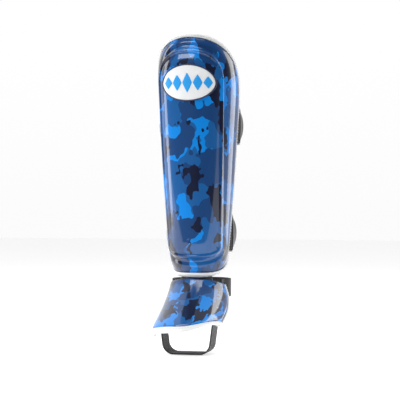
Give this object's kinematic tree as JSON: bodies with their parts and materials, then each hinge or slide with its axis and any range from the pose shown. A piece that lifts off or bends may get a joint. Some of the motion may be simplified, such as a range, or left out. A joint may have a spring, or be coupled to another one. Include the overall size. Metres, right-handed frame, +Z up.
{
  "type": "shin and instep guard",
  "caption": "Padded shin guard with a raised centre bar, hinged instep cover, padded calf straps and elastic foot bands, shown at its worn shape.",
  "frame": {"origin": "on the axis of the wearer's leg, level with the shin panel's lower edge at the ankle", "axes": "+Z up the leg towards the knee, -Y to the front of the shin and the toes, +X to the inner side of the right leg"},
  "size_m": [0.1321, 0.2381, 0.4902],
  "materials": {
    "camo_leather": "glossy synthetic leather printed in a blue camouflage",
    "strap_leather": "glossy black synthetic leather",
    "firm_foam": "closed-cell foam, matte",
    "soft_foam": "open-cell foam, matte",
    "lining_cloth": "woven polyester lining, matte",
    "white_binding": "smooth white synthetic leather tape, satin",
    "badge_white": "smooth printed patch, satin",
    "badge_navy": "moulded rubber line, satin",
    "badge_blue": "moulded rubber print, satin",
    "loop_pile": "brushed loop pile",
    "hook_tape": "moulded hook tape",
    "black_elastic": "ribbed elastic webbing",
    "gusset_cloth": "stretch knit, matte",
    "reinforcement": "synthetic leather patch, matte"
  },
  "bodies": {
    "shin": {"shin_cover": "camo_leather", "shin_impact_foam": "firm_foam", "shin_comfort_foam": "soft_foam", "shin_lining": "lining_cloth", "shin_binding": "white_binding", "badge_patch": "badge_white", "badge_rim": "badge_navy", "badge_emblem": "badge_blue", "upper_loop_patch": "loop_pile", "lower_loop_patch": "loop_pile", "upper_elastic": "black_elastic", "lower_elastic": "black_elastic", "ankle_gusset": "gusset_cloth"},
    "upper_strap": {"upper_strap_cover": "strap_leather", "upper_strap_foam": "soft_foam", "upper_strap_lining": "lining_cloth", "upper_strap_piping": "white_binding", "upper_hook_patch": "hook_tape"},
    "lower_strap": {"lower_strap_cover": "strap_leather", "lower_strap_foam": "soft_foam", "lower_strap_lining": "lining_cloth", "lower_strap_piping": "white_binding", "lower_hook_patch": "hook_tape"},
    "instep": {"instep_cover": "camo_leather", "instep_foam": "firm_foam", "instep_lining": "lining_cloth", "instep_binding": "white_binding", "heel_strap": "black_elastic", "heel_strap_tabs": "reinforcement", "arch_strap": "black_elastic", "arch_strap_tabs": "reinforcement"}
  },
  "joints": [
    {"name": "ankle_flex", "type": "hinge", "parent": "shin", "child": "instep", "pos_m": [0, -0.032, -0.002], "axis": [1, 0, 0], "range_deg": [-8, 20], "deforming": ["ankle_gusset"]},
    {"name": "upper_strap_swing", "type": "hinge", "parent": "shin", "child": "upper_strap", "pos_m": [0.04739, 0.03381, 0.236], "axis": [0, 0, 1], "range_deg": [-80, 0], "deforming": ["upper_elastic"]},
    {"name": "lower_strap_swing", "type": "hinge", "parent": "shin", "child": "lower_strap", "pos_m": [0.03748, 0.02397, 0.066], "axis": [0, 0, 1], "range_deg": [-60, 0], "deforming": ["lower_elastic"]}
  ]
}
